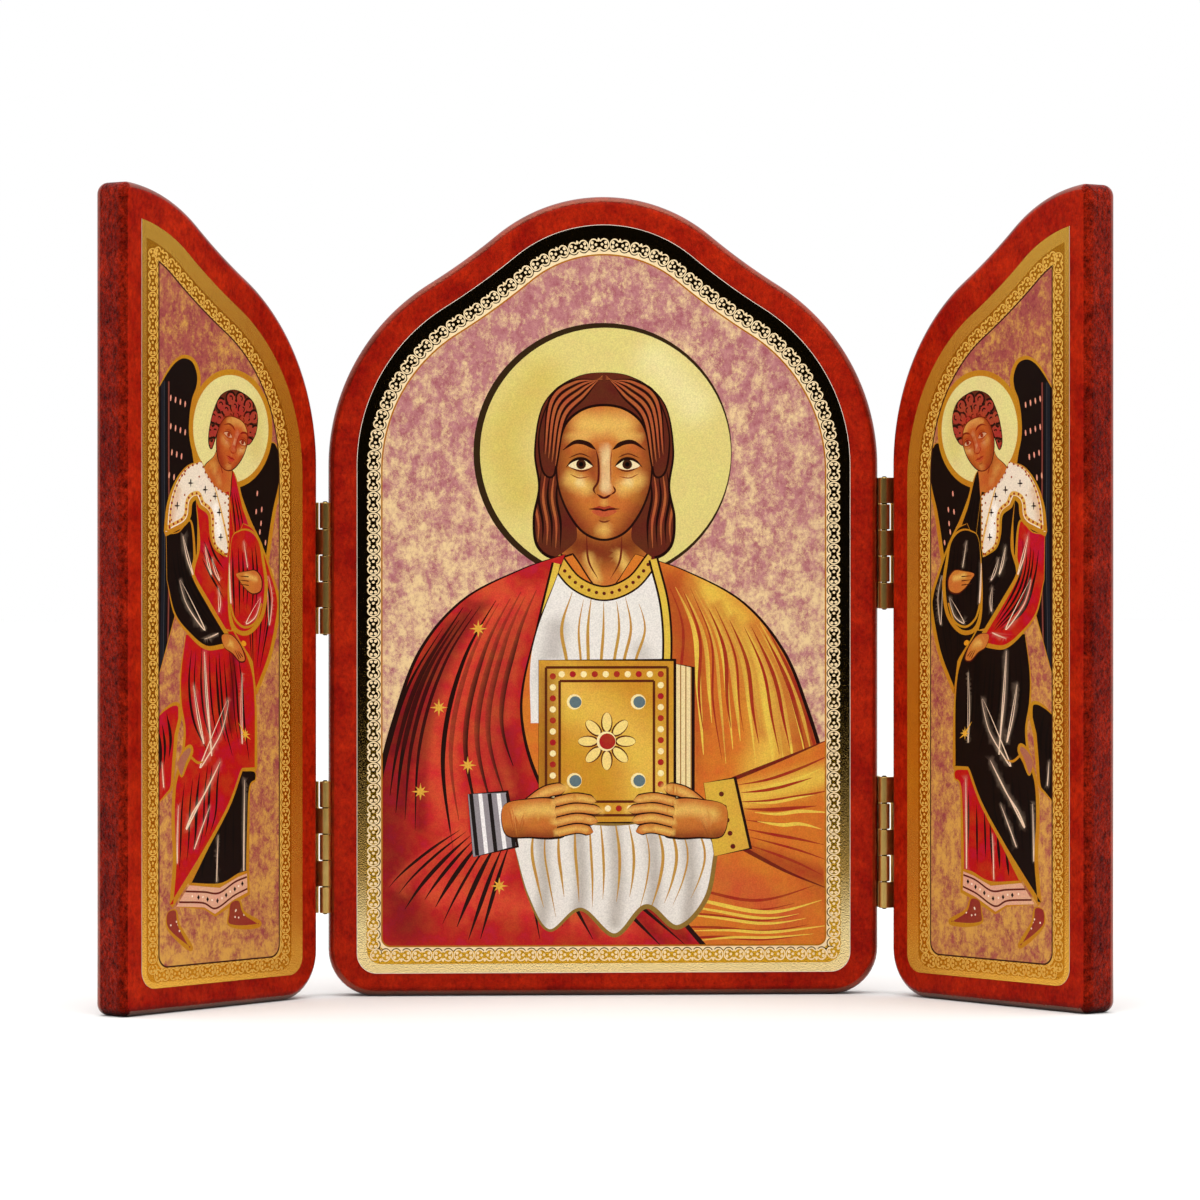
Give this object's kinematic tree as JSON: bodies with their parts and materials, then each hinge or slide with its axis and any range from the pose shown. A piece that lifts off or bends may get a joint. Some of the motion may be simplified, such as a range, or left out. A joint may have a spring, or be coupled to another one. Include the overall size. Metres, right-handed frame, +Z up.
{
  "type": "triptych altarpiece",
  "caption": "Small folding devotional triptych: an arched wooden centre board and two half-arched wings on brass butt hinges, each with a foil-edged print.",
  "frame": {"origin": "middle of the centre board's underside", "axes": "+Z up; the centre board's face looks along -Y; +X is to the viewer's right"},
  "size_m": [0.1864, 0.0492, 0.1524],
  "materials": {
    "stained_wood": "red-brown stain under satin lacquer",
    "foil_print": "printed picture with a gold foil edge, glossy",
    "hinge_brass": "bright plated brass"
  },
  "bodies": {
    "centre": {"centre_board": "stained_wood", "centre_print": "foil_print", "left_lower_hinge_pin": "hinge_brass", "left_lower_hinge_centre_leaf": "hinge_brass", "left_lower_hinge_centre_brad_low": "hinge_brass", "left_lower_hinge_centre_brad_high": "hinge_brass", "left_upper_hinge_pin": "hinge_brass", "left_upper_hinge_centre_leaf": "hinge_brass", "left_upper_hinge_centre_brad_low": "hinge_brass", "left_upper_hinge_centre_brad_high": "hinge_brass", "right_lower_hinge_pin": "hinge_brass", "right_lower_hinge_centre_leaf": "hinge_brass", "right_lower_hinge_centre_brad_low": "hinge_brass", "right_lower_hinge_centre_brad_high": "hinge_brass", "right_upper_hinge_pin": "hinge_brass", "right_upper_hinge_centre_leaf": "hinge_brass", "right_upper_hinge_centre_brad_low": "hinge_brass", "right_upper_hinge_centre_brad_high": "hinge_brass"},
    "left_wing": {"left_wing_board": "stained_wood", "left_wing_print": "foil_print", "left_lower_hinge_wing_leaf": "hinge_brass", "left_lower_hinge_wing_brad_low": "hinge_brass", "left_lower_hinge_wing_brad_high": "hinge_brass", "left_upper_hinge_wing_leaf": "hinge_brass", "left_upper_hinge_wing_brad_low": "hinge_brass", "left_upper_hinge_wing_brad_high": "hinge_brass"},
    "right_wing": {"right_wing_board": "stained_wood", "right_wing_print": "foil_print", "right_lower_hinge_wing_leaf": "hinge_brass", "right_lower_hinge_wing_brad_low": "hinge_brass", "right_lower_hinge_wing_brad_high": "hinge_brass", "right_upper_hinge_wing_leaf": "hinge_brass", "right_upper_hinge_wing_brad_low": "hinge_brass", "right_upper_hinge_wing_brad_high": "hinge_brass"}
  },
  "joints": [
    {"name": "left_wing_hinge", "type": "hinge", "parent": "centre", "child": "left_wing", "pos_m": [-0.0531, -0.0043, 0], "axis": [0, 0, 1], "range_deg": [-55.2, 132.8]},
    {"name": "right_wing_hinge", "type": "hinge", "parent": "centre", "child": "right_wing", "pos_m": [0.0536, -0.0043, 0], "axis": [0, 0, -1], "range_deg": [-60.1, 127.9]}
  ]
}
